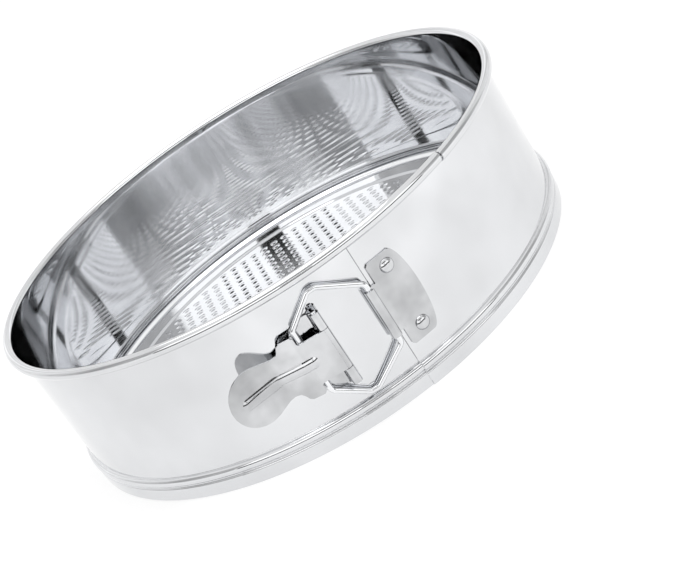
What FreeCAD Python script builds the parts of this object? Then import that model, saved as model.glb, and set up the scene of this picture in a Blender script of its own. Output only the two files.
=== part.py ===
"""Springform pan: a split tinplate band with a rolled rim, a loose base and an over-centre latch.

Millimetres, +Z up.  The origin is on the pan's axis in the plane of its foot, and the band's
seam, with the latch across it, faces -Y.  The lever points towards -X, the hook lies at +X.
"""
import FreeCAD, Part
import Sketcher
import math
import os

Vector = FreeCAD.Vector
UP = Vector(0, 0, 1)
ORIGIN = Vector(0, 0, 0)

DRIVING_SIZES = {
    # the band, measured on the middle of its sheet
    "inner_radius": 110.0, "pan_height": 67.0, "band_sheet": 0.5, "lap_step": 0.8,
    "skirt_radius": 111.9, "lip_width": 3.6, "corner_radius": 1.0, "skirt_top": 5.4,
    "groove_bend": 0.7, "bead_bend": 1.7, "valley_angle": 60.0, "bead_angle": 55.0,
    "curl_radius": 1.85, "curl_turn": 300.0, "tongue_length": 48.0, "seam_gap": 0.3,
    # the base
    "base_sheet": 0.6, "base_radius": 111.4, "ledge_radius": 106.2, "ring_radius": 94.5,
    "ledge_height": 8.3, "ring_height": 7.0, "field_height": 6.2,
    # the latch, placed by lengths along the wall from the seam
    "latch_height": 35.5, "wall_arc_radius": 112.0, "pivot_arc": 22.0, "hook_arc": 2.0,
    "pivot_radius": 113.9, "pin_radius": 1.0, "pin_length": 32.6, "pin_play": 0.05,
    "latch_sheet": 0.8, "knuckle_inner": 8.8, "knuckle_outer": 15.5,
    "rise_bend": 1.2, "rise_lead": 0.4, "rise_tail": 0.8, "knuckle_roll": 285.0,
    "bracket_length": 18.0, "bracket_half_width": 13.0, "bracket_corner": 3.0, "wall_play": 0.12,
    "bracket_shoulder": 4.0, "plate_lap": 0.2,
    "lever_length": 43.5, "lever_half_width": 12.4, "tongue_half_width": 8.6,
    "paddle_radius": 11.0, "lever_fall": 6.0, "lever_dip": 11.0, "dip_start": 12.5,
    "lever_kick": 30.0, "lever_knee": 23.0, "dip_bend": 8.0, "knee_bend": 12.0,
    "sleeve_roll": 300.0, "shoulder_start": 16.4, "neck_distance": 20.0, "neck_half_width": 8.4,
    "rib_height": 0.9, "rib_half_width": 2.3, "rib_start": 7.0, "rib_end": 39.0,
    "seat_distance": 9.5, "seat_depth": 1.3, "seat_lip": 3.0, "seat_play": 0.3,
    "wire_radius": 1.1, "wire_left_half": 13.5, "wire_peak_half": 22.6, "wire_right_half": 13.2,
    "wire_peak_start": 11.5, "wire_peak_end": 14.5, "wire_bend": 2.6, "hook_play": 0.08,
    "hook_half_height": 17.8, "hook_curl_half": 10.2, "hook_plate_start": 1.6,
    "hook_plate_end": 15.8, "hook_shoulder": 11.5, "hook_curl_run": 4.6,
    "hook_curl_roll": 250.0, "hook_corner": 1.0,
    "rivet_head_radius": 2.9, "rivet_head_height": 1.6, "rivet_shank_radius": 1.6,
    "hook_rivet_arc": 8.6, "hook_rivet_rise": 12.9,
    "bracket_rivet_arc": 14.5, "bracket_rivet_rise": 7.5, "bracket_head_height": 0.8,
}

doc = FreeCAD.newDocument("springform_pan")
sheet = doc.addObject("Spreadsheet::Sheet", "sizes")
for row, (name, value) in enumerate(DRIVING_SIZES.items(), start=1):
    sheet.set(f"A{row}", name)
    sheet.set(f"B{row}", str(value))
    sheet.setAlias(f"B{row}", name)
doc.recompute()


def size(name):
    """Read one driving size back from the sheet."""
    return float(sheet.get(name))


def turned(degrees_from_seam):
    """A placement that carries a piece drawn at the seam round the pan's axis."""
    return FreeCAD.Placement(ORIGIN, FreeCAD.Rotation(UP, degrees_from_seam))


def arc_angle(name):
    """The angle round the pan that a length along the wall stands for."""
    return math.degrees(size(name) / size("wall_arc_radius"))


def formed(start, heading, steps, thickness, place):
    """The section of a formed sheet: runs and bends along the middle of its thickness.

    A step is ("run", length) or ("bend", middle radius, degrees), left turns positive.
    place(u, v) puts a flat point in space.
    """
    half = thickness / 2
    u, v = start
    angle = math.radians(heading)
    sides = {half: [], -half: []}
    ends = []
    for step in steps:
        normal = (-math.sin(angle), math.cos(angle))
        if not ends:
            ends = [place(u + normal[0] * s, v + normal[1] * s) for s in (half, -half)]
        if step[0] == "run":
            nu, nv = u + step[1] * math.cos(angle), v + step[1] * math.sin(angle)
            for s, edges in sides.items():
                a = place(u + normal[0] * s, v + normal[1] * s)
                b = place(nu + normal[0] * s, nv + normal[1] * s)
                edges.append(Part.makeLine(a, b))
            u, v = nu, nv
            continue
        radius, turn = step[1], math.radians(step[2])
        side = 1 if turn > 0 else -1
        cu, cv = u + normal[0] * radius * side, v + normal[1] * radius * side
        for s, edges in sides.items():
            reach = radius - s * side
            points = []
            for part in (0, 0.5, 1):
                spoke = angle - side * math.pi / 2 + turn * part
                points.append(place(cu + reach * math.cos(spoke), cv + reach * math.sin(spoke)))
            edges.append(Part.Arc(*points).toShape())
        angle += turn
        u = cu + radius * math.cos(angle - side * math.pi / 2)
        v = cv + radius * math.sin(angle - side * math.pi / 2)
    normal = (-math.sin(angle), math.cos(angle))
    last = [place(u + normal[0] * s, v + normal[1] * s) for s in (half, -half)]
    caps = [Part.makeLine(*ends), Part.makeLine(*last)]
    wire = Part.Wire(Part.__sortEdges__(sides[half] + sides[-half] + caps))
    return Part.Face(wire)


def upright(u, v):
    """Section points of the band: u is the radius, v the height."""
    return Vector(u, 0, v)


def level(u, v):
    """Section points of a latch piece seen from above, drawn at the seam: v is outward."""
    return Vector(u, -v, 0)


def outline_prism(points, low, high):
    """A prism through the wall's thickness (along Y) from an outline in X and Z."""
    wire = Part.makePolygon([Vector(x, low, z) for x, z in points + points[:1]])
    return Part.Face(wire).extrude(Vector(0, high - low, 0))


def feature(label, shape, placement=None):
    """Keep a made shape as a document object, its placement set after its shape."""
    item = doc.addObject("Part::Feature", label)
    item.Label = label
    item.Shape = shape
    if placement:
        item.Placement = placement
    return item


def origin_plane(body, role):
    """One of a body's own origin planes."""
    return next(item for item in body.Origin.OriginFeatures if item.Role == role)


# ---------------------------------------------------------------- the split band

def band_steps(with_curl=True, from_wall=False):
    """The band's section from its foot lip up to the rolled rim, as runs and bends."""
    sheet_half = size("band_sheet") / 2
    small, large = size("groove_bend"), size("bead_bend")
    valley, bead = math.radians(size("valley_angle")), math.radians(size("bead_angle"))
    crest = size("skirt_radius") - 2 * small * (1 - math.cos(valley))
    crest += (small + large) * (1 - math.cos(bead))
    wall = size("inner_radius") + sheet_half
    close = math.acos(1 - (crest - wall) / (large + small))
    wall_start = (size("skirt_top") + 2 * small * math.sin(valley)
                  + (small + large) * (math.sin(bead) + math.sin(close)))
    curl_start = size("pan_height") - sheet_half - size("curl_radius")
    corner = size("corner_radius")
    foot = [
        ("run", size("lip_width") - corner),
        ("bend", corner, 90),
        ("run", size("skirt_top") - corner - sheet_half),
        ("bend", small, size("valley_angle")),
        ("bend", small, -size("valley_angle")),
        ("bend", small, -size("bead_angle")),
        ("bend", large, size("bead_angle")),
        ("bend", large, math.degrees(close)),
        ("bend", small, -math.degrees(close)),
    ]
    curl = [("bend", size("curl_radius"), -size("curl_turn"))]
    if from_wall:
        start = (wall, wall_start + size("groove_bend"))
        return start, 90, [("run", curl_start - start[1])] + curl
    start = (size("skirt_radius") - size("lip_width"), sheet_half)
    return start, 0, foot + [("run", curl_start - wall_start)] + (curl if with_curl else [])


def swept_band(steps, offset, first, turn):
    """Turn the band's section round the pan: first is the start angle, offset the added radius."""
    (u, v), heading, moves = steps
    section = formed((u + offset, v), heading, moves, size("band_sheet"), upright)
    section.rotate(ORIGIN, UP, first)
    centre = Vector(0, -offset, 0)
    section.translate(centre)
    return section.revolve(centre, UP, turn)


SEAM = -90.0
lap_angle = math.degrees(size("tongue_length") / size("inner_radius"))
gap_angle = math.degrees(size("seam_gap") / size("inner_radius"))
step_half = size("lap_step") / 2

left_body = swept_band(band_steps(), 0, 90.0, 180.0)
tongue = swept_band(band_steps(from_wall=True), 0, SEAM - 1.0, lap_angle + 1.0)
band_left = feature("band_left_half", left_body.fuse(tongue).removeSplitter())

right_body = swept_band(band_steps(), step_half, SEAM, 180.0)
curl_bottom = size("pan_height") - 2 * size("curl_radius") - size("band_sheet")
# The hook half gives way to the other half's rolled rim: a notch a little below the curl.
RIM_PLAY, RING_WIDTH, NOTCH_LEAD = 0.6, 12.0, 4.0
clearance_ring = Part.makeCylinder(size("inner_radius") + RING_WIDTH, RING_WIDTH,
                                   Vector(0, 0, curl_bottom - RIM_PLAY), UP,
                                   lap_angle + gap_angle + NOTCH_LEAD)
clearance_ring.rotate(ORIGIN, UP, SEAM - NOTCH_LEAD)
band_right = feature("band_right_half", right_body.cut(clearance_ring))


# ---------------------------------------------------------------- the loose base

base = doc.addObject("PartDesign::Body", "base_body")
base.Label = "base_plate"
base_sketch = base.newObject("Sketcher::SketchObject", "base_section")
base_sketch.AttachmentSupport = (origin_plane(base, "XZ_Plane"), [""])
base_sketch.MapMode = "FlatFace"
BASE_STATIONS = [
    # the top of the sheet from the axis to its edge: radius and height, as sheet formulas
    (None, "field_height"),
    ("ring_radius - 0.8", "field_height"),
    ("ring_radius + 0.8", "ring_height"),
    ("ledge_radius - 1.3", "ring_height"),
    ("ledge_radius", "ledge_height"),
    ("base_radius", "ledge_height"),
]
corners = [(radius, height) for radius, height in BASE_STATIONS]
corners += [(radius, height + " - base_sheet") for radius, height in reversed(BASE_STATIONS)]


def formula_value(text):
    """The number that a sum of driving sizes and plain numbers stands for."""
    total, sign = 0.0, 1
    for word in (text or "0").split():
        if word in "+-":
            sign = 1 if word == "+" else -1
        else:
            total += sign * (size(word) if word in DRIVING_SIZES else float(word))
    return total


def sheet_formula(text):
    """The same sum written for the expression engine."""
    return " ".join("sizes." + word if word in DRIVING_SIZES else word for word in text.split())


spots = [Vector(formula_value(radius), formula_value(height), 0) for radius, height in corners]
for index, spot in enumerate(spots):
    base_sketch.addGeometry(Part.LineSegment(spot, spots[(index + 1) % len(spots)]))
for index in range(len(spots)):
    following = (index + 1) % len(spots)
    base_sketch.addConstraint(Sketcher.Constraint("Coincident", index, 2, following, 1))
for index, (radius, height) in enumerate(corners):
    if radius:
        rule = Sketcher.Constraint("DistanceX", -1, 1, index, 1, spots[index].x)
        base_sketch.setExpression(f"Constraints[{base_sketch.addConstraint(rule)}]",
                                  sheet_formula(radius))
    else:
        base_sketch.addConstraint(Sketcher.Constraint("PointOnObject", index, 1, -2))
    rule = Sketcher.Constraint("DistanceY", -1, 1, index, 1, spots[index].y)
    base_sketch.setExpression(f"Constraints[{base_sketch.addConstraint(rule)}]",
                              sheet_formula(height))
base_turn = base.newObject("PartDesign::Revolution", "base_turn")
base_turn.Profile = base_sketch
base_turn.ReferenceAxis = (base_sketch, ["V_Axis"])
base_turn.Angle = 360


# ---------------------------------------------------------------- the latch

# Construction reaches that only have to clear the pan: a cutting cylinder's height and the two
# distances from the axis between which the latch's outlines are cut.
BEYOND, FRONT_NEAR, FRONT_FAR = 200.0, 90.0, 130.0
HOLE_NEAR = 100.0
latch_height = size("latch_height")
latch_sheet = size("latch_sheet")
sleeve_inner = size("pin_radius") + size("pin_play")
sleeve_middle = sleeve_inner + latch_sheet / 2
left_wall = size("inner_radius") + size("band_sheet")
right_wall = left_wall + size("lap_step")
pivot_turn = -arc_angle("pivot_arc")
hook_turn = -arc_angle("hook_arc")


def slab(section, half_height):
    """A piece of constant section, centred on the latch's height."""
    solid = section.extrude(Vector(0, 0, 2 * half_height))
    solid.translate(Vector(0, 0, latch_height - half_height))
    return solid


def between(solid, low, high):
    """The part of a solid between two heights measured from the latch's middle."""
    box = Part.makeBox(2 * BEYOND, 2 * BEYOND, high - low,
                       Vector(-BEYOND, -BEYOND, latch_height + low))
    return solid.common(box)


# The bracket: a plate on the wall that rises to the pin and rolls round it in two knuckles.
plate_middle = left_wall + size("wall_play") + latch_sheet / 2
rise = size("pivot_radius") - sleeve_middle - plate_middle
rise_bend = size("rise_bend")
rise_angle = math.degrees(math.acos(1 - rise / (2 * rise_bend)))
rise_run = 2 * rise_bend * math.sin(math.radians(rise_angle))
knuckle_lead, knuckle_tail = size("rise_lead"), size("rise_tail")
knuckle_section = formed((-rise_run - knuckle_lead - knuckle_tail, plate_middle), 0, [
    ("run", knuckle_lead), ("bend", rise_bend, rise_angle), ("bend", rise_bend, -rise_angle),
    ("run", knuckle_tail), ("bend", sleeve_middle, size("knuckle_roll"))], latch_sheet, level)
knuckle_outer, knuckle_inner = size("knuckle_outer"), size("knuckle_inner")
knuckles = slab(knuckle_section, knuckle_outer)
knuckles = between(knuckles, -knuckle_outer, -knuckle_inner).fuse(
    between(knuckles, knuckle_inner, knuckle_outer))
shoulder, corner = size("bracket_shoulder"), size("bracket_corner")
plate_right = -rise_run - knuckle_lead - knuckle_tail + size("plate_lap")
plate_left = plate_right - size("bracket_length") + shoulder
plate_ring = Part.makeCylinder(plate_middle + latch_sheet / 2, 2 * knuckle_outer,
                               Vector(0, 0, latch_height - knuckle_outer))
plate_ring = plate_ring.cut(Part.makeCylinder(plate_middle - latch_sheet / 2, BEYOND))
half_width = size("bracket_half_width")
plate_outline = [(plate_right, -knuckle_outer), (plate_right, knuckle_outer),
                 (plate_right - shoulder, knuckle_outer), (plate_left, half_width - corner),
                 (plate_left, -half_width + corner), (plate_right - shoulder, -knuckle_outer)]
plate = plate_ring.common(outline_prism(
    [(x, z + latch_height) for x, z in plate_outline], -FRONT_FAR, -FRONT_NEAR))
bracket_rivet_turn = -arc_angle("bracket_rivet_arc")


def radial_cylinder(radius, low, high, turn, height):
    """A cylinder along the radius through the wall, turned from the seam."""
    rod = Part.makeCylinder(radius, high - low, Vector(0, -low, height), Vector(0, -1, 0))
    rod.rotate(ORIGIN, UP, turn)
    return rod


bracket_shape = knuckles.fuse(plate)
for side in (1, -1):
    bracket_shape = bracket_shape.cut(radial_cylinder(
        size("rivet_shank_radius"), HOLE_NEAR, FRONT_FAR, bracket_rivet_turn,
        latch_height + side * size("bracket_rivet_rise")))
bracket = feature("hinge_bracket", bracket_shape.removeSplitter(), turned(pivot_turn))

# The pin, fixed in the knuckles.
pin = doc.addObject("Part::Cylinder", "pin_rod")
pin.Label = "hinge_pin"
pin.setExpression("Radius", "sizes.pin_radius")
pin.setExpression("Height", "sizes.pin_length")
pin.Placement = turned(pivot_turn).multiply(FreeCAD.Placement(
    Vector(0, -size("pivot_radius"), latch_height - size("pin_length") / 2), FreeCAD.Rotation()))

# The lever, drawn with its pivot at the seam and running towards -X.
fall, kick, knee = size("lever_fall"), size("lever_kick"), size("lever_knee")
dip, dip_start = size("lever_dip"), size("dip_start")
slope = math.radians(fall)


def lever_section(lift, thickness, start, end):
    """The lever's bent length, lift above the middle of its sheet: down, a dip, then a kick out."""
    dip_bend, knee_bend = size("dip_bend") + lift, size("knee_bend") - lift
    top = sleeve_middle + lift
    first = (-start * math.cos(slope) - top * math.sin(slope),
             size("pivot_radius") - start * math.sin(slope) + top * math.cos(slope))
    dip_trim = dip_bend * math.tan(math.radians(dip) / 2)
    knee_trim = knee_bend * math.tan(math.radians(kick) / 2)
    return formed(first, 180 + fall, [
        ("run", dip_start - start - dip_trim), ("bend", dip_bend, dip),
        ("run", knee - dip_start - dip_trim - knee_trim), ("bend", knee_bend, -kick),
        ("run", end - knee - knee_trim)], thickness, level)


sleeve = slab(formed((0, size("pivot_radius") + sleeve_middle), 0,
                     [("bend", sleeve_middle, -size("sleeve_roll"))], latch_sheet, level),
              size("tongue_half_width"))
SLEEVE_LAP = 0.01
blank = slab(lever_section(0, latch_sheet, -SLEEVE_LAP, size("lever_length")),
             size("lever_half_width"))


def in_plan(distance):
    """How far from the pivot a length along the bent lever lies, seen square to the wall."""
    parts = [(dip_start, fall), (knee - dip_start, fall + dip), (BEYOND, fall + dip - kick)]
    plan = sleeve_middle * math.sin(slope)
    if distance < 0:
        return plan + distance
    for length, lean in parts:
        step = min(length, distance)
        plan += step * math.cos(math.radians(lean))
        distance -= step
        if distance <= 0:
            break
    return plan


def plan_outline(half_widths):
    """A mirrored outline from (distance from the pivot, half width) stations."""
    upper = [(-distance, latch_height + half) for distance, half in half_widths]
    lower = [(-distance, latch_height - half) for distance, half in reversed(half_widths)]
    return upper + lower


paddle, wide = size("paddle_radius"), size("lever_half_width")
paddle_centre = size("lever_length") - paddle
tongue_half = size("tongue_half_width")
seat = size("seat_distance")
notch_end = seat + size("wire_radius") + size("seat_play")
chamfer = 0.8
shoulder_start, neck = size("shoulder_start"), size("neck_distance")
neck_half = size("neck_half_width")
stations = [(-4, tongue_half), (notch_end - 0.6, tongue_half), (notch_end, tongue_half + 0.6),
            (notch_end, wide - chamfer), (notch_end + chamfer, wide), (shoulder_start, wide),
            (shoulder_start + 1.2, wide - chamfer), (shoulder_start + 2.0, neck_half + 1.6),
            (neck - 0.6, neck_half + 0.4), (neck + 1.6, neck_half), (neck + 4.0, neck_half + 0.4),
            (neck + 7.0, neck_half + 1.4), (neck + 9.6, paddle - 0.4)]
# The paddle's outline is flattened where the bends shorten it seen from in front.
stations += [(paddle_centre + paddle * math.sin(math.radians(a)),
              paddle * math.cos(math.radians(a))) for a in range(0, 90, 10)]
stations += [(size("lever_length") - 0.02, 0.9)]
stations = [(in_plan(distance), half) for distance, half in stations]
lever_shape = blank.common(outline_prism(plan_outline(stations), -FRONT_FAR, -FRONT_NEAR))

lip_drop = size("seat_lip")
lips = []
for side in (1, -1):
    near = tongue_half + chamfer
    far = wide - chamfer
    low, high = sorted((side * near, side * far))
    lip = Part.makeBox(latch_sheet, lip_drop, high - low, Vector(
        -notch_end - latch_sheet,
        -(size("pivot_radius") + sleeve_middle - (notch_end * math.sin(slope))),
        latch_height + low))
    lips.append(lip)

# The pressed rib: a round bar along the bent length that stands out of the sheet by its height.
rib_half, rib_height = size("rib_half_width"), size("rib_height")
rib_round = (rib_half ** 2 + rib_height ** 2) / (2 * rib_height)
rib_lift = latch_sheet / 2 + rib_height - rib_round


def lever_point(distance, lift):
    """The point at a length along the bent lever, lift above the middle of its sheet."""
    u = -(sleeve_middle + lift) * math.sin(slope)
    v = size("pivot_radius") + (sleeve_middle + lift) * math.cos(slope)
    leans = [(dip_start, fall), (knee - dip_start, fall + dip), (BEYOND, fall + dip - kick)]
    last = fall
    for length, lean in leans:
        # The offset line turns a corner a little early or late, as a lifted sheet does.
        half_turn = math.radians(lean - last) / 2
        shift = lift * math.tan(half_turn)
        u, v = (u - shift * math.cos(math.radians(last)) - shift * math.cos(math.radians(lean)),
                v - shift * math.sin(math.radians(last)) - shift * math.sin(math.radians(lean)))
        step = min(length, distance)
        u -= step * math.cos(math.radians(lean))
        v -= step * math.sin(math.radians(lean))
        distance -= step
        last = lean
        if distance <= 0:
            break
    return Vector(u, -v, latch_height)


rib_stops = [size("rib_start") + rib_half, dip_start, knee, size("rib_end") - rib_half]
rib_spots = [lever_point(stop, rib_lift) for stop in rib_stops]
rib_bars = [Part.makeSphere(rib_round, spot) for spot in rib_spots]
for near_spot, far_spot in zip(rib_spots, rib_spots[1:]):
    way = far_spot.sub(near_spot)
    rib_bars.append(Part.makeCylinder(rib_round, way.Length, near_spot, way))
above = slab(lever_section(rib_height / 2 + latch_sheet / 4, latch_sheet / 2 + rib_height,
                           0.5, size("lever_length") - 0.5), 2 * rib_half)
rib = rib_bars[0].fuse(rib_bars[1:]).common(above)
lever_shape = lever_shape.fuse([sleeve, rib] + lips).removeSplitter()
lever = feature("lever", lever_shape, turned(pivot_turn))

# The hook plate on the right half, its left edge curled back over the wire.
hook_inner = right_wall + size("wall_play")
hook_middle = hook_inner + latch_sheet / 2
curl_middle = size("wire_radius") + size("hook_play") + latch_sheet / 2
hook_axis_radius = hook_middle + curl_middle
hook_half = size("hook_half_height")
hook_ring = Part.makeCylinder(hook_inner + latch_sheet, 2 * hook_half,
                              Vector(0, 0, latch_height - hook_half))
hook_ring = hook_ring.cut(Part.makeCylinder(hook_inner, BEYOND))
plate_start, plate_end = size("hook_plate_start"), size("hook_plate_end")
bulge = plate_end - size("hook_shoulder")
cut = size("hook_corner")
hook_outline = [(plate_start, -hook_half + cut), (plate_start, hook_half - cut),
                (plate_start + cut, hook_half)]
hook_outline += [(size("hook_shoulder") + bulge * math.cos(math.radians(a)),
                  hook_half * math.sin(math.radians(a))) for a in range(90, -91, -9)]
hook_outline += [(plate_start + cut, -hook_half)]
hook_outline = [(x, z + latch_height) for x, z in hook_outline]
hook_plate_shape = hook_ring.common(outline_prism(hook_outline, -FRONT_FAR, -FRONT_NEAR))
hook_curl = slab(formed((size("hook_curl_run"), hook_middle), 180, [
    ("run", size("hook_curl_run")), ("bend", curl_middle, -size("hook_curl_roll"))],
    latch_sheet, level), size("hook_curl_half"))
hook_curl.rotate(ORIGIN, UP, hook_turn)
hook_shape = hook_plate_shape.fuse(hook_curl)
hook_rivet_turn = arc_angle("hook_rivet_arc")
for side in (1, -1):
    hook_shape = hook_shape.cut(radial_cylinder(
        size("rivet_shank_radius"), HOLE_NEAR, FRONT_FAR, hook_rivet_turn,
        latch_height + side * size("hook_rivet_rise")))
hook = feature("hook_plate", hook_shape.removeSplitter())

# The closed wire loop from the hook's curl to the lever's seat.
def round_pan(x, radius, turn):
    """A point drawn at the seam, carried round the pan's axis."""
    return turned(turn).multVec(Vector(x, -radius, latch_height))


seat_point = round_pan(-seat, size("pivot_radius") - size("seat_depth"), pivot_turn)
hook_point = round_pan(0, hook_axis_radius, hook_turn)
reach = hook_point.sub(seat_point).Length
peak_one, peak_two = size("wire_peak_start"), size("wire_peak_end")
loop_half = [(0.0, size("wire_left_half")), (peak_one, size("wire_peak_half")),
             (peak_two, size("wire_peak_half")), (reach, size("wire_right_half"))]
loop = loop_half + [(u, -half) for u, half in reversed(loop_half)]


def wire_loop(points, bend_radius, wire_radius):
    """A closed loop of round wire: straight runs joined by tangent bends, in the XZ plane."""
    spots = [Vector(x, 0, z) for x, z in points]
    total = len(spots)
    trims = []
    for i, spot in enumerate(spots):
        back = spots[i - 1].sub(spot)
        ahead = spots[(i + 1) % total].sub(spot)
        turn = math.pi - back.getAngle(ahead)
        trim = bend_radius * math.tan(turn / 2)
        a = spot.add(back.normalize().multiply(trim))
        b = spot.add(ahead.normalize().multiply(trim))
        inward = back.add(ahead).normalize()
        middle = spot.add(inward.multiply(bend_radius / math.cos(turn / 2) - bend_radius))
        trims.append((a, middle, b))
    edges = []
    for i in range(total):
        a, middle, b = trims[i]
        edges.append(Part.Arc(a, middle, b).toShape())
        edges.append(Part.makeLine(b, trims[(i + 1) % total][0]))
    # The sweep starts half way along a straight run, square to it.
    near, far = trims[0][2], trims[1][0]
    heading = far.sub(near)
    start = near.add(far).multiply(0.5)
    path = Part.Wire([Part.makeLine(start, far)] + edges[2:] + edges[:1]
                     + [Part.makeLine(near, start)])
    ring = Part.Wire(Part.makeCircle(wire_radius, start, heading))
    return path.makePipeShell([ring], True, False)


wire_shape = wire_loop(loop, size("wire_bend"), size("wire_radius"))
along = hook_point.sub(seat_point)
wire_place = FreeCAD.Placement(seat_point, FreeCAD.Rotation(UP, math.degrees(
    math.atan2(along.y, along.x))))
wire = feature("wire_link", wire_shape, wire_place)


# ---------------------------------------------------------------- the rivets

def rivet(label, seat_radius, tail_radius, head_name, turn, rise):
    """A domed rivet: its head on the plate, its shank through the wall to tail_radius."""
    body = doc.addObject("PartDesign::Body", label + "_body")
    body.Label = label
    sketch = body.newObject("Sketcher::SketchObject", label + "_section")
    sketch.AttachmentSupport = (origin_plane(body, "XY_Plane"), [""])
    sketch.MapMode = "FlatFace"
    head, shank = size("rivet_head_radius"), size("rivet_shank_radius")
    head_height = size(head_name)
    depth = seat_radius - tail_radius
    spots = [Vector(0, head_height, 0), Vector(head, 0, 0), Vector(shank, 0, 0),
             Vector(shank, -depth, 0), Vector(0, -depth, 0)]
    bulge = Vector(head * 0.72, head_height * 0.66, 0)
    sketch.addGeometry(Part.Arc(spots[0], bulge, spots[1]))
    for a, b in zip(spots[1:], spots[2:] + spots[:1]):
        sketch.addGeometry(Part.LineSegment(a, b))
    for edge in range(1, 4):
        sketch.addConstraint(Sketcher.Constraint("Coincident", edge, 2, edge + 1, 1))
    arc_top = 1 if sketch.getPoint(0, 1).x < sketch.getPoint(0, 2).x else 2
    sketch.addConstraint(Sketcher.Constraint("Coincident", 0, arc_top, 4, 2))
    sketch.addConstraint(Sketcher.Constraint("Coincident", 0, 3 - arc_top, 1, 1))
    sketch.addConstraint(Sketcher.Constraint("PointOnObject", 4, 1, -2))
    sketch.addConstraint(Sketcher.Constraint("PointOnObject", 4, 2, -2))
    sketch.addConstraint(Sketcher.Constraint("PointOnObject", 1, 1, -1))
    sketch.addConstraint(Sketcher.Constraint("PointOnObject", 1, 2, -1))
    for direction, edge, end, value, formula in (
            ("DistanceX", 1, 1, head, "sizes.rivet_head_radius"),
            ("DistanceX", 1, 2, shank, "sizes.rivet_shank_radius"),
            ("DistanceX", 2, 2, shank, "sizes.rivet_shank_radius"),
            ("DistanceY", 4, 2, head_height, "sizes." + head_name)):
        rule = Sketcher.Constraint(direction, -1, 1, edge, end, value)
        sketch.setExpression(f"Constraints[{sketch.addConstraint(rule)}]", formula)
    revolution = body.newObject("PartDesign::Revolution", label + "_turn")
    revolution.Profile = sketch
    revolution.ReferenceAxis = (sketch, ["V_Axis"])
    revolution.Angle = 360
    outward = FreeCAD.Rotation(Vector(0, 0, 1), 180)
    body.Placement = turned(turn).multiply(FreeCAD.Placement(
        Vector(0, -seat_radius, latch_height + rise), outward))
    return body


TAIL_SINK, TAIL_OUT = 0.45, 0.1
HOOK_HOLE_NEAR = 110.6
rivets = []
for place, side in (("upper", 1), ("lower", -1)):
    rivets.append(rivet(f"hook_rivet_{place}", hook_inner + latch_sheet, right_wall - TAIL_SINK,
                        "rivet_head_height", hook_rivet_turn,
                        side * size("hook_rivet_rise")))
    rivets.append(rivet(f"bracket_rivet_{place}", plate_middle + latch_sheet / 2,
                        left_wall - size("band_sheet") - TAIL_OUT, "bracket_head_height",
                        bracket_rivet_turn + pivot_turn, side * size("bracket_rivet_rise")))

# The wall has holes for the shanks.
for band, turn, rise_name in ((band_left, bracket_rivet_turn + pivot_turn, "bracket_rivet_rise"),
                              (band_right, hook_rivet_turn, "hook_rivet_rise")):
    for side in (1, -1):
        band.Shape = band.Shape.cut(radial_cylinder(
            size("rivet_shank_radius"), HOOK_HOLE_NEAR if band is band_right else HOLE_NEAR,
            FRONT_FAR, turn,
            latch_height + side * size(rise_name)))


# ---------------------------------------------------------------- checks and export

doc.recompute()
for item in doc.Objects:
    if "Invalid" in item.State or "Error" in item.State:
        raise RuntimeError(f"{item.Label} failed: {item.State}")

PIECES = [band_left, band_right, base, bracket, pin, lever, wire, hook] + rivets
os.makedirs("parts", exist_ok=True)
for piece in PIECES:
    shape = piece.Shape
    if shape.isNull() or not shape.isValid() or not shape.Solids:
        raise RuntimeError(f"{piece.Label} has no sound solid")
    shape.exportStep(f"parts/{piece.Label}.step")
    print(piece.Label, len(shape.Solids), round(shape.Volume, 1), shape.BoundBox)
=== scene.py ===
"""Looks for the springform pan: bright tinplate band, dimpled base and plated latch fittings."""

import math

import bmesh
import bpy
from mathutils import Matrix, Vector


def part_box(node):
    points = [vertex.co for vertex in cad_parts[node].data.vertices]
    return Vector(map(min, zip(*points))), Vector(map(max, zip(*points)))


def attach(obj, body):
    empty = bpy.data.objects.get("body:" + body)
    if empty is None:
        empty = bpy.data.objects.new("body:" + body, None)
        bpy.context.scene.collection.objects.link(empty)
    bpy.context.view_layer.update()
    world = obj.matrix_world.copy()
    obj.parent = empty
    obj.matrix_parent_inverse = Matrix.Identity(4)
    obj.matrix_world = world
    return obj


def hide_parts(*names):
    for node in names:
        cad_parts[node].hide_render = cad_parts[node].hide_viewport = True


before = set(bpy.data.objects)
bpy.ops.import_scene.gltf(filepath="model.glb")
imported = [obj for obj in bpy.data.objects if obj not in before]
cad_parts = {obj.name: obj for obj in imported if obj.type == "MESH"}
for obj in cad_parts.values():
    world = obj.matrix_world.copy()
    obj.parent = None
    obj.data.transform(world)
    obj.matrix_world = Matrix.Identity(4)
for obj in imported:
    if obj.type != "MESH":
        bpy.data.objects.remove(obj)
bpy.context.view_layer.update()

bl_info = {
    "name": "Springform Pan",
    "version": (1, 0, 0),
    "blender": (4, 5, 0),
    "location": "3D View > Sidebar > Springform Pan",
    "description": "Builds the band, base and latch of a springform pan around its CAD frame",
    "category": "Add Mesh",
}

MM = 0.001
PAN_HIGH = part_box("band_left_half")[1]
BASE_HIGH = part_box("base_plate")[1]
# Noise scales of the metals, per metre: smudges, haze patches, soft swells and rolling lines.
SMUDGE_SCALE = 26.0
SHEET_HAZE_SCALE = 17.0
FITTINGS_HAZE_SCALE = 52.0
SWELL_SCALE = 34.0
LINES_ACROSS = 2600.0
LINES_ALONG = 40.0
# How dark the tin's haze gets, as a share of its tint: on the sheet, and on the fittings.
HAZE = 0.88
FITTINGS_HAZE = 0.62
# How strongly the floor and the backdrop shine by themselves, the world being 1.
FLOOR_GLOW = 0.74
BACKDROP_GLOW = 0.22
BOARD_GLOW = 0.7
MATT = 0.9
SEAM = math.radians(-90)
BACK = math.radians(90)


def length(name, description, default):
    """A size in metres that the panel shows."""
    return bpy.props.FloatProperty(name=name, description=description, default=default,
                                   unit="LENGTH", precision=5)


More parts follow.
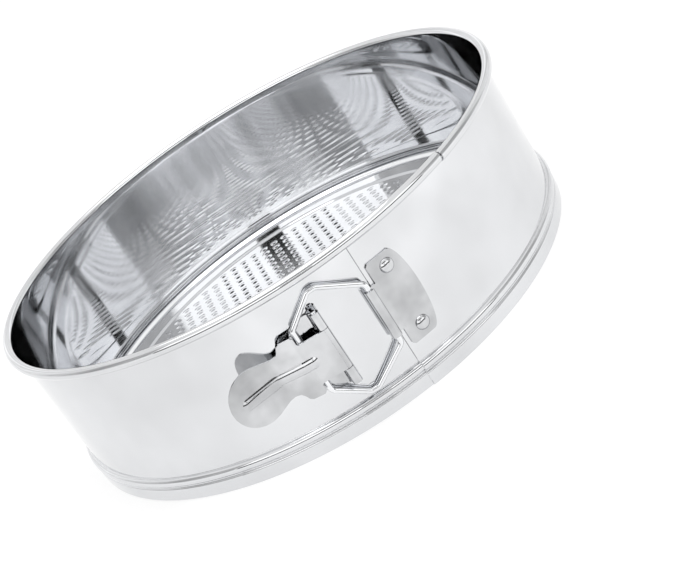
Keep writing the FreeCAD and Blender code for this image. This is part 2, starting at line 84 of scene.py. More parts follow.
def angle(name, description, degrees):
    """An angle that the panel shows."""
    return bpy.props.FloatProperty(name=name, description=description, subtype="ANGLE",
                                   default=math.radians(degrees))


def to_linear(code):
    """A colour written as sRGB hex, turned to linear values."""
    values = [int(code[i:i + 2], 16) / 255 for i in (1, 3, 5)]
    return [v / 12.92 if v <= 0.04045 else ((v + 0.055) / 1.055) ** 2.4 for v in values]


def colour(name, description, code):
    """A colour that the panel shows."""
    return bpy.props.FloatVectorProperty(name=name, description=description, subtype="COLOR",
                                         size=3, min=0, max=1, default=to_linear(code))


class BandSizes(bpy.types.PropertyGroup):
    """The formed section of the band."""

    inner_radius: length("Inner radius", "Inside of the wall", 110 * MM)
    sheet: length("Sheet", "Thickness of the band's tinplate", 0.5 * MM)
    lap_step: length("Lap step", "How far the hook half stands out at the seam", 0.8 * MM)
    skirt_radius: length("Skirt radius", "Middle of the skirt's sheet", 111.9 * MM)
    lip_width: length("Lip width", "Foot lip turned inwards under the skirt", 3.6 * MM)
    corner_radius: length("Foot bend", "Bend between lip and skirt", 1.0 * MM)
    skirt_top: length("Skirt top", "Height where the groove begins", 5.4 * MM)
    groove_bend: length("Groove bend", "Bend radius of the groove", 0.7 * MM)
    bead_bend: length("Bead bend", "Bend radius of the bead", 1.7 * MM)
    curl_radius: length("Curl radius", "Rolled rim, middle of the sheet", 1.85 * MM)
    tongue: length("Tongue", "Length of the inner tongue behind the hook half", 48 * MM)
    seam_gap: length("Seam gap", "Between the two rims where they meet", 0.3 * MM)
    rim_play: length("Rim play", "From the rolled rim down to the hook half's edge", 0.6 * MM)
    valley_angle: angle("Valley", "Slope into the groove", 60)
    bead_angle: angle("Bead", "Slope out to the bead", 55)
    curl_turn: angle("Curl turn", "How far the rim is rolled", 300)


class BaseSizes(bpy.types.PropertyGroup):
    """The loose base."""

    sheet: length("Sheet", "Thickness of the base", 0.6 * MM)
    ledge_radius: length("Ledge radius", "Inner edge of the flat ledge at the wall", 106.2 * MM)
    ring_radius: length("Ring radius", "Inner edge of the plain ring", 94.5 * MM)
    ring_height: length("Ring height", "Top of the plain ring", 7.0 * MM)
    field_height: length("Field height", "Top of the dimpled field", 6.2 * MM)
    step_bend: length("Step bend", "Softness of the pressed steps", 0.5 * MM)
    ledge_ramp: length("Ledge ramp", "Width of the slope below the ledge", 1.3 * MM)
    ring_ramp: length("Ring ramp", "Half width of the slope below the plain ring", 0.8 * MM)
    field_margin: length("Field margin", "Plain rim round the dimples", 3.6 * MM)
    pitch: length("Dimple pitch", "Spacing of the square grid of dimples", 5.7 * MM)
    dimple_radius: length("Dimple radius", "Radius of a dimple", 2.3 * MM)
    dimple_rise: length("Dimple rise", "Height of a dimple", 0.34 * MM)
    grid_turn: angle("Grid turn", "How the base happens to lie in the band", -10.2)


class LatchSizes(bpy.types.PropertyGroup):
    """How the pressed latch pieces are finished."""

    weld: length("Weld", "Points closer than this are one", 0.002 * MM)
    edge_round: length("Edge rounding", "Deburred edges of the pressed pieces", 0.12 * MM)
    crease: angle("Crease", "Edges sharper than this stay crisp", 32)


class Finishes(bpy.types.PropertyGroup):
    """Colours of the metals and the surroundings."""

    band: colour("Band", "Bright tinplate of the band", "#E0E1E3")
    base: colour("Base", "Bright tinplate of the base", "#F0F1F3")
    fittings: colour("Fittings", "Bright-plated pressed steel", "#D3D4D6")
    wire: colour("Wire", "Bright-plated drawn wire", "#EDEEF0")
    rivets: colour("Rivets", "Polished rivet heads", "#D2D3D5")
    floor: colour("Floor", "Plain pale floor", "#909090")


class StageSettings(bpy.types.PropertyGroup):
    """Where the camera stands and what it sees."""

    azimuth: angle("Azimuth", "Camera's place round the pan", -10.2)
    elevation: angle("Elevation", "Camera's height above the horizon", 20.757)
    distance: length("Distance", "From the aim point to the camera", 640 * MM)
    aim_height: length("Aim height", "Height of the aim point on the axis", 33 * MM)
    turn_side: angle("Side turn", "Aim turned sideways from the pan's axis", -1.0318)
    turn_down: angle("Down turn", "Aim turned down from the pan's axis", -2.4319)
    roll: angle("Roll", "Camera rolled about its view", -33.566)
    lens: bpy.props.FloatProperty(name="Lens", description="Focal length in millimetres",
                                  default=81.86)


GROUPS = {
    "pan_band": BandSizes,
    "pan_base": BaseSizes,
    "pan_latch": LatchSizes,
    "pan_finish": Finishes,
    "pan_stage": StageSettings,
}


# ------------------------------------------------------------------ materials

def add_node(tree, kind, links=(), **settings):
    """Add one node: plain settings go on the node, (input, value) in inputs, links as pairs."""
    node = tree.nodes.new(kind)
    for name, value in settings.items():
        if name == "inputs":
            for socket, number in value.items():
                node.inputs[socket].default_value = number
        else:
            setattr(node, name, value)
    for source, socket in links:
        tree.links.new(source, node.inputs[socket])
    return node


def new_metal(name, tint, roughness):
    """A metal's material, its tree and its shader; the index of refraction stays the default."""
    material = bpy.data.materials.new(name)
    material.use_nodes = True
    tree = material.node_tree
    shader = tree.nodes["Principled BSDF"]
    shader.inputs["Metallic"].default_value = 1.0
    shader.inputs["Base Color"].default_value = (*tint, 1)
    shader.inputs["Roughness"].default_value = roughness
    return material, tree, shader


def handled_metal(name, tint, smooth, rough, ripple, grain, grain_axis, haze_tone=HAZE,
                  haze_scale=SHEET_HAZE_SCALE):
    """Rolled sheet: faint rolling lines, smudges that dull it in patches and a soft ripple.

    grain_axis is the Object axis that the rolling lines run along.
    """
    material, tree, shader = new_metal(name, tint, smooth)
    place = add_node(tree, "ShaderNodeTexCoord").outputs["Object"]
    smudge = add_node(tree, "ShaderNodeTexNoise", [(place, "Vector")],
                      inputs={"Scale": SMUDGE_SCALE, "Detail": 5.0, "Roughness": 0.62})
    # Rolling lines about 0.4 mm apart, far longer than they are wide.
    stretch = [LINES_ACROSS] * 3
    stretch[grain_axis] = LINES_ALONG
    lines_place = add_node(tree, "ShaderNodeMapping", [(place, "Vector")],
                           inputs={"Scale": stretch})
    lines = add_node(tree, "ShaderNodeTexNoise", [(lines_place.outputs[0], "Vector")],
                     inputs={"Scale": 1.0, "Detail": 2.0})
    dullness = add_node(tree, "ShaderNodeMapRange", [(smudge.outputs["Fac"], "Value")],
                        inputs={"From Min": 0.42, "From Max": 0.74, "To Min": smooth,
                                "To Max": rough})
    tree.links.new(dullness.outputs[0], shader.inputs["Roughness"])
    # The tin's haze: patches some centimetres wide, a little darker where it is handled.
    patch = add_node(tree, "ShaderNodeTexNoise", [(place, "Vector")],
                     inputs={"Scale": haze_scale, "Detail": 3.0, "Roughness": 0.55})
    haze = add_node(tree, "ShaderNodeMapRange", [(patch.outputs["Fac"], "Value")],
                    inputs={"From Min": 0.35, "From Max": 0.7, "To Min": 0.0, "To Max": 1.0})
    tone = add_node(tree, "ShaderNodeMix", [(haze.outputs[0], "Factor")], data_type="RGBA")
    tone.inputs["A"].default_value = (*tint, 1)
    tone.inputs["B"].default_value = (*[value * haze_tone for value in tint], 1)
    tree.links.new(tone.outputs["Result"], shader.inputs["Base Color"])
    swell = add_node(tree, "ShaderNodeTexNoise", [(place, "Vector")],
                     inputs={"Scale": SWELL_SCALE, "Detail": 1.0})
    soft = add_node(tree, "ShaderNodeBump", [(swell.outputs["Fac"], "Height")],
                    inputs={"Strength": 1.0, "Distance": ripple})
    fine = add_node(tree, "ShaderNodeBump", [(lines.outputs["Fac"], "Height"),
                                             (soft.outputs[0], "Normal")],
                    inputs={"Strength": 1.0, "Distance": grain})
    tree.links.new(fine.outputs[0], shader.inputs["Normal"])
    return material


def band_tinplate():
    """Electrolytic tinplate, cold rolled bright: a mirror that is a little soft and wavy."""
    tint = bpy.context.scene.pan_finish.band
    return handled_metal("band_tinplate", tint, smooth=0.035, rough=0.13, ripple=0.05 * MM,
                         grain=0.0003 * MM, grain_axis=2)


def base_tinplate():
    """The same tinplate, pressed flat with dimples: slightly duller from the press."""
    tint = bpy.context.scene.pan_finish.base
    return handled_metal("base_tinplate", tint, smooth=0.04, rough=0.14, ripple=0.04 * MM,
                         grain=0.0004 * MM, grain_axis=0)


def plated_steel():
    """Pressed steel with bright plating over its tool marks: soft reflections."""
    tint = bpy.context.scene.pan_finish.fittings
    return handled_metal("plated_steel", tint, smooth=0.08, rough=0.2, ripple=0.03 * MM,
                         grain=0.0006 * MM, grain_axis=0, haze_tone=FITTINGS_HAZE,
                         haze_scale=FITTINGS_HAZE_SCALE)


def plated_wire():
    """Drawn steel wire, bright plated: sharp streaks of reflection along it."""
    tint = bpy.context.scene.pan_finish.wire
    return handled_metal("plated_wire", tint, smooth=0.05, rough=0.12, ripple=0.01 * MM,
                         grain=0.0004 * MM, grain_axis=2)


def rivet_steel():
    """Rivet heads burnished by the setting tool: nearly a mirror, with small scuffs."""
    tint = bpy.context.scene.pan_finish.rivets
    return handled_metal("rivet_steel", tint, smooth=0.05, rough=0.14, ripple=0.01 * MM,
                         grain=0.0004 * MM, grain_axis=2)


# ------------------------------------------------------------------ mesh tools

def formed_path(start, heading, steps, bend_step=math.radians(9)):
    """Points and normals along the middle of a formed sheet, from runs and bends."""
    u, v = start
    turn_now = heading
    path = [(u, v, turn_now)]
    for step in steps:
        if step[0] == "run":
            u, v = u + step[1] * math.cos(turn_now), v + step[1] * math.sin(turn_now)
            path.append((u, v, turn_now))
            continue
        radius, turn = step[1], step[2]
        side = 1 if turn > 0 else -1
        cu, cv = u - radius * side * math.sin(turn_now), v + radius * side * math.cos(turn_now)
        count = max(2, math.ceil(abs(turn) / bend_step))
        for k in range(1, count + 1):
            now = turn_now + turn * k / count
            path.append((cu + radius * side * math.sin(now), cv - radius * side * math.cos(now),
                         now))
        turn_now += turn
        u, v = path[-1][:2]
    return path


def sheet_sides(path, thickness):
    """The two faces of the sheet, point by point: (left side, right side)."""
    half = thickness / 2
    sides = []
    for u, v, now in path:
        nu, nv = -math.sin(now) * half, math.cos(now) * half
        sides.append(((u + nu, v + nv), (u - nu, v - nv)))
    return sides


def spread(start, end, step):
    """Evenly spaced angles from start to end, both kept."""
    count = max(1, round(abs(end - start) / step))
    return [start + (end - start) * k / count for k in range(count + 1)]


def turned_sheet(name, sides, angles, centre, offset, present):
    """Turn a sheet's section round the pan as a closed shell.

    present(row, column) says whether a cell of the sheet exists.
    """
    mesh = bmesh.new()
    verts = {}

    def point(row, column, side):
        key = (row, column, side)
        if key not in verts:
            u, v = sides[row][side]
            a = angles[column]
            verts[key] = mesh.verts.new((centre.x + (u + offset) * math.cos(a),
                                         centre.y + (u + offset) * math.sin(a), v))
        return verts[key]

    rows, columns = len(sides) - 1, len(angles) - 1

    def cell(row, column):
        return 0 <= row < rows and 0 <= column < columns and present(row, column)

    for row in range(rows):
        for column in range(columns):
            if not cell(row, column):
                continue
            square = [(row, column), (row, column + 1), (row + 1, column + 1), (row + 1, column)]
            mesh.faces.new([point(r, c, 0) for r, c in reversed(square)])
            mesh.faces.new([point(r, c, 1) for r, c in square])
            beyond = [(row - 1, column), (row, column + 1), (row + 1, column), (row, column - 1)]
            for k, other in enumerate(beyond):
                if not cell(*other):
                    a, b = square[k], square[(k + 1) % 4]
                    mesh.faces.new([point(*a, 0), point(*b, 0), point(*b, 1), point(*a, 1)])
    bmesh.ops.recalc_face_normals(mesh, faces=mesh.faces)
    return finished_mesh(name, mesh)


def finished_mesh(name, mesh, crease=math.radians(32)):
    """Turn a bmesh into an object at the origin, smooth apart from its creases."""
    data = bpy.data.meshes.new(name)
    mesh.to_mesh(data)
    mesh.free()
    piece = bpy.data.objects.new(name, data)
    bpy.context.scene.collection.objects.link(piece)
    data.shade_smooth()
    data.set_sharp_from_angle(angle=crease)
    return piece


def dress(piece, material, slot, body, *nodes):
    """Give a piece its material and body, and let it stand for its CAD nodes; slot is not used."""
    piece.data.materials.clear()
    piece.data.materials.append(material)
    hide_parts(*nodes)
    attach(piece, body)


# ------------------------------------------------------------------ the band

def band_section(sizes):
    """The band's section, the height of the curl's underside and the wall's first row."""
    small, large = sizes.groove_bend, sizes.bead_bend
    half = sizes.sheet / 2
    crest = sizes.skirt_radius - 2 * small * (1 - math.cos(sizes.valley_angle))
    crest += (small + large) * (1 - math.cos(sizes.bead_angle))
    wall = sizes.inner_radius + half
    close = math.acos(1 - (crest - wall) / (large + small))
    wall_start = (sizes.skirt_top + 2 * small * math.sin(sizes.valley_angle)
                  + (small + large) * (math.sin(sizes.bead_angle) + math.sin(close)))
    curl_start = PAN_HIGH.z - half - sizes.curl_radius
    lap_top = PAN_HIGH.z - 2 * sizes.curl_radius - sizes.sheet - sizes.rim_play
    corner = sizes.corner_radius
    foot = [
        ("run", sizes.lip_width - corner), ("bend", corner, math.radians(90)),
        ("run", sizes.skirt_top - corner - half),
        ("bend", small, sizes.valley_angle), ("bend", small, -sizes.valley_angle),
        ("bend", small, -sizes.bead_angle), ("bend", large, sizes.bead_angle),
        ("bend", large, close), ("bend", small, -close), ("run", small),
    ]
    start = (sizes.skirt_radius - sizes.lip_width, half)
    below = formed_path(start, 0.0, foot)
    wall_row = len(below) - 1
    wall_runs = [("run", (lap_top - wall_start - small) / 8)] * 8
    full = formed_path(start, 0.0, foot + wall_runs + [
        ("run", curl_start - lap_top), ("bend", sizes.curl_radius, -sizes.curl_turn)])
    return sheet_sides(full, sizes.sheet), wall_row, wall_row + len(wall_runs)


class PAN_OT_band(bpy.types.Operator):
    """Make the two halves of the band"""

    bl_idname = "pan.band"
    bl_label = "Band"

    def execute(self, context):
        sizes = context.scene.pan_band
        sides, wall_row, lap_row = band_section(sizes)
        material = band_tinplate()
        step = math.radians(1)
        lap = sizes.tongue / sizes.inner_radius
        left_angles = spread(BACK, BACK + math.pi, step)
        seam_column = len(left_angles) - 1
        left_angles += spread(BACK + math.pi, BACK + math.pi + lap, step)[1:]
        left = turned_sheet("band_lever_half", sides, left_angles, Vector((0, 0)), 0.0,
                            lambda row, column: column < seam_column or row >= wall_row)
        dress(left, material, "tinplate_band", "root", "band_left_half")
        gap = sizes.seam_gap / sizes.inner_radius
        lap_angles = spread(SEAM, SEAM + lap + gap, step)
        lap_column = len(lap_angles) - 1
        right_angles = lap_angles + spread(SEAM + lap + gap, BACK, step)[1:]
        offset = sizes.lap_step / 2
        right = turned_sheet("band_hook_half", sides, right_angles, Vector((0, -offset)), offset,
                             lambda row, column: column >= lap_column or row < lap_row)
        dress(right, material, "tinplate_band", "opening_band", "band_right_half")
        return {"FINISHED"}


# ------------------------------------------------------------------ the base

# Points along a softened corner, and the most of a straight run that one corner may take up.
BEND_PARTS = 6
BEND_SHARE = 0.45


def softened(corners, bend):
    """A section through corner points with every corner bent round: points with headings."""
    path = []
    total = len(corners)
    for k, corner in enumerate(corners):
        here = Vector(corner)
        if k in (0, total - 1):
            other = Vector(corners[1] if k == 0 else corners[-2])
            way = (other - here) if k == 0 else (here - other)
            path.append((here.x, here.y, math.atan2(way.y, way.x)))
            continue
        back = (Vector(corners[k - 1]) - here)
        ahead = (Vector(corners[k + 1]) - here)
        reach = min(bend, back.length * BEND_SHARE, ahead.length * BEND_SHARE)
        for part in range(BEND_PARTS + 1):
            t = part / BEND_PARTS
            a, b = here + back.normalized() * reach, here + ahead.normalized() * reach
            spot = a * (1 - t) ** 2 + here * 2 * t * (1 - t) + b * t * t
            way = (here - a) * (1 - t) + (b - here) * t
            path.append((spot.x, spot.y, math.atan2(way.y, way.x)))
    return path


def dimple_tree(sizes, material):
    """A node tree that sets dimples on a square grid inside the base's round field."""
    tree = bpy.data.node_groups.new("base_dimples", "GeometryNodeTree")
    tree.interface.new_socket("Geometry", in_out="OUTPUT", socket_type="NodeSocketGeometry")
    inputs = {
        "Field radius": sizes.ring_radius - sizes.field_margin,
        "Pitch": sizes.pitch,
        "Dimple radius": sizes.dimple_radius,
        "Rise": sizes.dimple_rise,
        "Height": sizes.field_height,
        "Turn": sizes.grid_turn,
    }
    for name, value in inputs.items():
        socket = tree.interface.new_socket(name, in_out="INPUT", socket_type="NodeSocketFloat")
        socket.default_value = value
    given = add_node(tree, "NodeGroupInput").outputs
    # An odd count of points, so that one stands on the axis.
    half_count = add_node(tree, "ShaderNodeMath", [(given["Field radius"], 0), (given["Pitch"], 1)],
                          operation="DIVIDE")
    whole = add_node(tree, "ShaderNodeMath", [(half_count.outputs[0], 0)], operation="FLOOR")
    count = add_node(tree, "ShaderNodeMath", [(whole.outputs[0], 0)], operation="MULTIPLY_ADD",
                     inputs={1: 2.0, 2: 1.0})
    span = add_node(tree, "ShaderNodeMath", [(whole.outputs[0], 0), (given["Pitch"], 1)],
                    operation="MULTIPLY")
    side = add_node(tree, "ShaderNodeMath", [(span.outputs[0], 0)], operation="MULTIPLY",
                    inputs={1: 2.0})
    grid = add_node(tree, "GeometryNodeMeshGrid", [
        (side.outputs[0], "Size X"), (side.outputs[0], "Size Y"),
        (count.outputs[0], "Vertices X"), (count.outputs[0], "Vertices Y")])
    position = add_node(tree, "GeometryNodeInputPosition")
    reach = add_node(tree, "ShaderNodeVectorMath", [(position.outputs[0], 0)], operation="LENGTH")
    outside = add_node(tree, "FunctionNodeCompare", [
        (reach.outputs["Value"], "A"), (given["Field radius"], "B")],
        data_type="FLOAT", operation="GREATER_THAN")
    round_field = add_node(tree, "GeometryNodeDeleteGeometry", [
        (grid.outputs["Mesh"], "Geometry"), (outside.outputs[0], "Selection")], domain="POINT")
    ball = add_node(tree, "GeometryNodeMeshUVSphere", inputs={"Segments": 16, "Rings": 12,
                                                              "Radius": 1.0})
    ball_place = add_node(tree, "GeometryNodeInputPosition")
    ball_parts = add_node(tree, "ShaderNodeSeparateXYZ", [(ball_place.outputs[0], 0)])
    below = add_node(tree, "FunctionNodeCompare", [(ball_parts.outputs["Z"], "A")],
                     data_type="FLOAT", operation="LESS_THAN", inputs={"B": -0.05})
    dome = add_node(tree, "GeometryNodeDeleteGeometry", [
        (ball.outputs["Mesh"], "Geometry"), (below.outputs[0], "Selection")], domain="POINT")
    # The press leaves no edge: the dome's height falls to nothing with no slope at its foot.
    swell = add_node(tree, "ShaderNodeMath", [(ball_parts.outputs["Z"], 0)], operation="POWER",
                     inputs={1: 4.0})
    swollen = add_node(tree, "ShaderNodeCombineXYZ", [
        (ball_parts.outputs["X"], "X"), (ball_parts.outputs["Y"], "Y"), (swell.outputs[0], "Z")])
    bump = add_node(tree, "GeometryNodeSetPosition", [
        (dome.outputs[0], "Geometry"), (swollen.outputs[0], "Position")])
    scale = add_node(tree, "ShaderNodeCombineXYZ", [
        (given["Dimple radius"], "X"), (given["Dimple radius"], "Y"), (given["Rise"], "Z")])
    placed = add_node(tree, "GeometryNodeInstanceOnPoints", [
        (round_field.outputs[0], "Points"), (bump.outputs[0], "Instance"),
        (scale.outputs[0], "Scale")])
    lift = add_node(tree, "ShaderNodeCombineXYZ", [(given["Height"], "Z")])
    spin = add_node(tree, "ShaderNodeCombineXYZ", [(given["Turn"], "Z")])
    raised = add_node(tree, "GeometryNodeTransform", [
        (placed.outputs[0], "Geometry"), (lift.outputs[0], "Translation"),
        (spin.outputs[0], "Rotation")])
    real = add_node(tree, "GeometryNodeRealizeInstances", [(raised.outputs[0], "Geometry")])
    smooth = add_node(tree, "GeometryNodeSetShadeSmooth", [(real.outputs[0], "Geometry")])
    finish = add_node(tree, "GeometryNodeSetMaterial", [(smooth.outputs[0], "Geometry")],
                      inputs={"Material": material})
    add_node(tree, "NodeGroupOutput", [(finish.outputs[0], "Geometry")])
    return tree


# Radius of the flat face that closes the turned base on its axis.
MIDDLE_FACE = 0.5 * MM


class PAN_OT_base(bpy.types.Operator):
    """Make the loose base with its pressed steps and dimples"""

    bl_idname = "pan.base"
    bl_label = "Base"

    def execute(self, context):
        sizes = context.scene.pan_base
        material = base_tinplate()
        edge = BASE_HIGH.x
        middle = sizes.sheet / 2
        tops = [
            (edge, BASE_HIGH.z), (sizes.ledge_radius, BASE_HIGH.z),
            (sizes.ledge_radius - sizes.ledge_ramp, sizes.ring_height),
            (sizes.ring_radius + sizes.ring_ramp, sizes.ring_height),
            (sizes.ring_radius - sizes.ring_ramp, sizes.field_height),
            (MIDDLE_FACE, sizes.field_height),
        ]
        path = softened([(u, v - middle) for u, v in tops], sizes.step_bend)
        plate = turned_sheet("loose_base", sheet_sides(path, sizes.sheet),
                             spread(0, 2 * math.pi, math.radians(1.5)), Vector((0, 0)), 0.0,
                             lambda row, column: True)
        close_turn(plate)
        dress(plate, material, "tinplate_base", "root", "base_plate")
        grower = bpy.data.objects.new("base_dimples", bpy.data.meshes.new("base_dimples"))
        context.scene.collection.objects.link(grower)
        grower.modifiers.new("dimples", "NODES").node_group = dimple_tree(sizes, material)
        evaluated = grower.evaluated_get(context.evaluated_depsgraph_get())
        domes = bpy.data.meshes.new_from_object(evaluated)
        grower.modifiers.clear()
        grower.data = domes
        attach(grower, "root")
        return {"FINISHED"}


def close_turn(piece):
    """Join the first and last columns of a full turn and close the middle."""
    mesh = bmesh.new()
    mesh.from_mesh(piece.data)
    bmesh.ops.remove_doubles(mesh, verts=mesh.verts, dist=0.001 * MM)
    inner = [e for e in mesh.edges if e.is_boundary]
    if inner:
        bmesh.ops.holes_fill(mesh, edges=inner)
    seen, doubled = set(), []
    for face in mesh.faces:
        key = frozenset(v.index for v in face.verts)
        if key in seen:
            doubled.append(face)
        seen.add(key)
    bmesh.ops.delete(mesh, geom=doubled, context="FACES")
    bmesh.ops.recalc_face_normals(mesh, faces=mesh.faces)
    mesh.to_mesh(piece.data)
    mesh.free()


# ------------------------------------------------------------------ the latch

def refined(node, name, sizes, rounding):
    """A copy of a CAD node with its points welded, its edges rounded and smooth shading."""
    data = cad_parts[node].data.copy()
    mesh = bmesh.new()
    mesh.from_mesh(data)
    bmesh.ops.remove_doubles(mesh, verts=mesh.verts, dist=sizes.weld)
    bmesh.ops.dissolve_limit(mesh, angle_limit=math.radians(1.5), verts=mesh.verts,
                             edges=mesh.edges)
    piece = finished_mesh(name, mesh, sizes.crease)
    if rounding:
        bevel = piece.modifiers.new("deburred edges", "BEVEL")
        bevel.width = rounding
        bevel.segments = 2
        bevel.limit_method = "ANGLE"
        bevel.angle_limit = sizes.crease
        bevel.harden_normals = True
    return piece


class PAN_OT_latch(bpy.types.Operator):
    """Finish the latch: bracket, pin, lever, wire link, hook plate and rivets"""

    bl_idname = "pan.latch"
    bl_label = "Latch"

    def execute(self, context):
        sizes = context.scene.pan_latch
        steel, wire, rivet = plated_steel(), plated_wire(), rivet_steel()
        pressed, rods, heads = "plated_fittings", "plated_wire", "rivet_heads"
        round_edge = sizes.edge_round
        plan = [
            ("hinge_bracket", "latch_bracket", "root", steel, pressed, round_edge),
            ("lever", "latch_lever_sheet", "latch_lever", steel, pressed, round_edge),
            ("hook_plate", "latch_hook", "opening_band", steel, pressed, round_edge),
            ("hinge_pin", "latch_pin", "root", wire, rods, round_edge),
            ("wire_link", "latch_wire", "link", wire, rods, 0),
        ]
        for place in ("upper", "lower"):
            plan.append((f"hook_rivet_{place}", f"hook_rivet_head_{place}", "opening_band",
                         rivet, heads, 0))
            plan.append((f"bracket_rivet_{place}", f"bracket_rivet_head_{place}", "root",
                         rivet, heads, 0))
        for node, name, body, material, slot, rounding in plan:
            dress(refined(node, name, sizes, rounding), material, slot, body, node)
        return {"FINISHED"}


# ------------------------------------------------------------------ the stage

def glow_card(name, centre, width, height, face, strength):
    """A soft rectangular light turned to face a point."""
    data = bpy.data.lights.new(name, "AREA")
    data.shape = "RECTANGLE"
    data.size, data.size_y = width, height
    data.energy = strength
    lamp = bpy.data.objects.new(name, data)
    lamp.location = centre
    lamp.rotation_mode = "QUATERNION"
    lamp.rotation_quaternion = (Vector(face) - Vector(centre)).to_track_quat("-Z", "Y")
    bpy.context.scene.collection.objects.link(lamp)


def plain_paint(name, tint, roughness, glow=0.0):
    """Matt studio paint, lit from behind where it glows: an even colour, a calm reflection."""
    material = bpy.data.materials.new(name)
    material.use_nodes = True
    shader = material.node_tree.nodes["Principled BSDF"]
    shader.inputs["Base Color"].default_value = (*tint, 1)
    shader.inputs["Roughness"].default_value = roughness
    shader.inputs["Specular IOR Level"].default_value = 0.1
    shader.inputs["Emission Color"].default_value = (1, 1, 1, 1)
    shader.inputs["Emission Strength"].default_value = glow
    return material


def stage_sheet(name, corners, material, in_view=False):
    """A flat stage piece from its four corners; the boards are there only to be mirrored."""
    data = bpy.data.meshes.new(name)
    data.from_pydata(corners, [], [(0, 1, 2, 3)])
    data.materials.append(material)
    piece = bpy.data.objects.new(name, data)
    bpy.context.scene.collection.objects.link(piece)
    piece.visible_camera = in_view


def curved_sheet(name, radius, start, end, low, high, material, around):
    """An upright strip of a cylinder; bearings in degrees from straight behind the pan."""
    mesh = bmesh.new()
    rows = []
    for bearing in spread(math.radians(start), math.radians(end), math.radians(4)):
        x, y = -radius * math.sin(bearing), radius * math.cos(bearing)
        rows.append([mesh.verts.new(around @ Vector((x, y, z))) for z in (low, high)])
    for near, far in zip(rows, rows[1:]):
        mesh.faces.new([near[0], far[0], far[1], near[1]])
    piece = finished_mesh(name, mesh)
    piece.data.materials.append(material)
    piece.visible_camera = False


def lit_floor(name, tint):
    """Floor lit from below: always full white by itself, but uneven where the metal mirrors it."""
    material = plain_paint(name, tint, MATT, FLOOR_GLOW)
    tree = material.node_tree
    place = add_node(tree, "ShaderNodeTexCoord").outputs["Object"]
    cloud = add_node(tree, "ShaderNodeTexNoise", [(place, "Vector")],
                     inputs={"Scale": 6.5, "Detail": 2.0, "Roughness": 0.5})
    extra = add_node(tree, "ShaderNodeMapRange", [(cloud.outputs["Fac"], "Value")],
                     interpolation_type="SMOOTHSTEP",
                     inputs={"From Min": 0.4, "From Max": 0.62, "To Min": 0.05, "To Max": 0.25})
    # The extra light lies in front of the pan only, so that the wall's two ends stay greyer.
    parts = add_node(tree, "ShaderNodeSeparateXYZ", [(place, 0)])
    front = add_node(tree, "ShaderNodeMapRange", [(parts.outputs["Y"], "Value")],
                     inputs={"From Min": -0.25, "From Max": 0.0, "To Min": 1.0, "To Max": 0.0})
    glow = add_node(tree, "ShaderNodeMath", [(extra.outputs[0], 0), (front.outputs[0], 1)],
                    operation="MULTIPLY_ADD", inputs={2: FLOOR_GLOW})
    tree.links.new(glow.outputs[0],
                   tree.nodes["Principled BSDF"].inputs["Emission Strength"])
    return material


def streaked_paint(name, turn):
    """Backdrop paint with soft upright streaks, falling to dark towards both sides."""
    material = plain_paint(name, (0.5, 0.5, 0.5), MATT, BACKDROP_GLOW)
    tree = material.node_tree
    shader = tree.nodes["Principled BSDF"]
    place = add_node(tree, "ShaderNodeTexCoord").outputs["Object"]
    turned = add_node(tree, "ShaderNodeMapping", [(place, "Vector")],
                      inputs={"Rotation": (0, 0, turn), "Scale": (1.0, 1.0, 0.12)})
    noise = add_node(tree, "ShaderNodeTexNoise", [(turned.outputs[0], "Vector")],
                     inputs={"Scale": 2.3, "Detail": 2.0, "Roughness": 0.5})
    streak = add_node(tree, "ShaderNodeMapRange", [(noise.outputs["Fac"], "Value")],
                      inputs={"From Min": 0.36, "From Max": 0.64, "To Min": 0.55, "To Max": 1.0})
    parts = add_node(tree, "ShaderNodeSeparateXYZ", [(turned.outputs[0], 0)])
    # Bright straight behind, dark at the sides.
    side = add_node(tree, "ShaderNodeMapRange", [(parts.outputs["Y"], "Value")],
                    interpolation_type="SMOOTHSTEP",
                    inputs={"From Min": 0.0, "From Max": 1.1, "To Min": 0.35, "To Max": 1.0})
    shade = add_node(tree, "ShaderNodeMath", [(streak.outputs[0], 0), (side.outputs[0], 1)],
                     operation="MULTIPLY")
    tree.links.new(shade.outputs[0], shader.inputs["Base Color"])
    return material


def hang_boards(stage, around, black):
    """What the metal mirrors, unseen by the camera; sizes in metres, bearings in degrees.

    Behind the pan stands a streaked backdrop.  In front are a low dark flag, a glowing board
    over it and a dark flag higher up.
    """
    backdrop = streaked_paint("backdrop_paint", -stage.azimuth)
    white = plain_paint("white_board", to_linear("#E8E8E8"), MATT, BOARD_GLOW)
    for name, radius, start, end, low, high, paint in (
            ("curved_backdrop", 1.8, -118, 118, 0.26, 1.7, backdrop),
            ("front_flag", 1.4, 120, 240, 0.02, 0.36, black),
            ("front_glow", 1.5, 120, 240, 0.36, 1.1, white)):
        curved_sheet(name, radius, start, end, low, high, paint, around)
    half_width, distance, low, high = 0.8, 1.3, 1.15, 1.75
    turn = around @ Matrix.Rotation(math.pi, 4, "Z")
    stage_sheet("top_board", [turn @ Vector((x, distance, z)) for x, z in (
        (-half_width, low), (half_width, low), (half_width, high), (-half_width, high))], black)


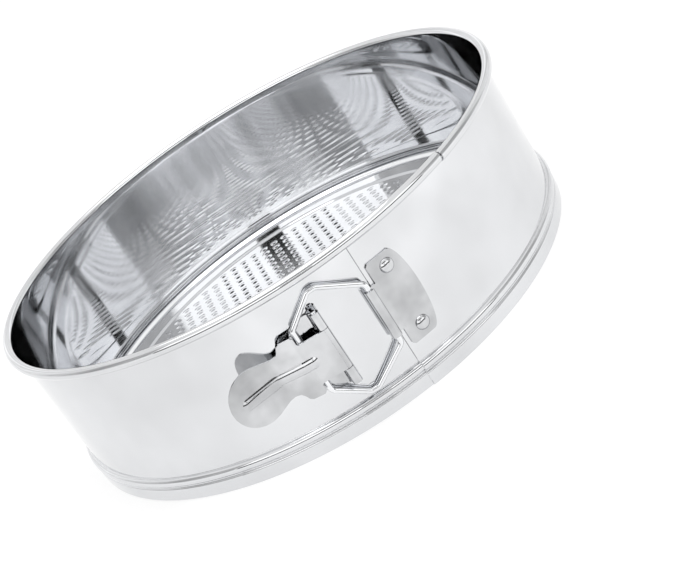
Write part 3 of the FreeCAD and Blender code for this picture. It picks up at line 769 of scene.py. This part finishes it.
def aim_camera(scene, stage, around, black):
    """The camera, turned and rolled about its place, and its own dark body for the metal."""
    camera = bpy.data.cameras.new("camera")
    camera.lens = stage.lens
    camera.sensor_width = 36
    viewer = bpy.data.objects.new("camera", camera)
    scene.collection.objects.link(viewer)
    back = Vector((0, -math.cos(stage.elevation), math.sin(stage.elevation)))
    right = Vector((1, 0, 0))
    up = back.cross(right)
    look = Matrix((right, up, back)).transposed()
    look = look @ Matrix.Rotation(stage.turn_side, 3, "Y")
    look = look @ Matrix.Rotation(stage.turn_down, 3, "X")
    look = look @ Matrix.Rotation(stage.roll, 3, "Z")
    place = around @ (Vector((0, 0, stage.aim_height)) + back * stage.distance)
    viewer.matrix_world = Matrix.Translation(place) @ around @ look.to_4x4()
    scene.camera = viewer
    half_width, below, above, behind = 75 * MM, 30 * MM, 70 * MM, 60 * MM
    corners = [(-half_width, -below), (half_width, -below), (half_width, above),
               (-half_width, above)]
    stage_sheet("camera_body", [place + around @ (back * behind + right * x + up * z)
                                for x, z in corners], black)


class PAN_OT_stage(bpy.types.Operator):
    """Set the floor, the lights and the camera"""

    bl_idname = "pan.stage"
    bl_label = "Stage"

    def execute(self, context):
        scene = context.scene
        stage = scene.pan_stage
        floor = lit_floor("floor_paint", scene.pan_finish.floor)
        reach = 14.0
        stage_sheet("floor", [(-reach, -reach, 0), (reach, -reach, 0), (reach, reach, 0),
                              (-reach, reach, 0)], floor, in_view=True)
        world = bpy.data.worlds.new("studio")
        world.use_nodes = True
        backdrop = world.node_tree.nodes["Background"]
        backdrop.inputs["Color"].default_value = (1, 1, 1, 1)
        backdrop.inputs["Strength"].default_value = 1.0
        scene.world = world
        scene.view_settings.view_transform = "Standard"
        around = Matrix.Rotation(stage.azimuth, 4, "Z")
        black = plain_paint("black_board", to_linear("#262626"), MATT)
        hang_boards(stage, around, black)
        glow_card("overhead_softbox", (0, 0.2, 1.6), 1.2, 1.2, (0, 0, 0), 9)
        aim_camera(scene, stage, around, black)
        return {"FINISHED"}


class PAN_PT_panel(bpy.types.Panel):
    """Lists the pan's pieces and sizes"""

    bl_idname = "PAN_PT_panel"
    bl_label = "Springform Pan"
    bl_space_type = "VIEW_3D"
    bl_region_type = "UI"
    bl_category = "Springform Pan"

    def draw(self, context):
        layout = self.layout
        for operator in OPERATORS:
            layout.operator(operator.bl_idname)
        for key, group in GROUPS.items():
            box = layout.box()
            box.label(text=group.__name__)
            for name in group.__annotations__:
                box.prop(getattr(context.scene, key), name)


OPERATORS = (PAN_OT_band, PAN_OT_base, PAN_OT_latch, PAN_OT_stage)


def register():
    for group in GROUPS.values():
        bpy.utils.register_class(group)
    for key, group in GROUPS.items():
        setattr(bpy.types.Scene, key, bpy.props.PointerProperty(type=group))
    for item in OPERATORS + (PAN_PT_panel,):
        bpy.utils.register_class(item)


def unregister():
    for item in reversed(OPERATORS + (PAN_PT_panel,)):
        bpy.utils.unregister_class(item)
    for key, group in GROUPS.items():
        delattr(bpy.types.Scene, key)
        bpy.utils.unregister_class(group)


def main():
    register()
    bpy.ops.pan.band()
    bpy.ops.pan.base()
    bpy.ops.pan.latch()
    bpy.ops.pan.stage()


if __name__ == "__main__":
    main()
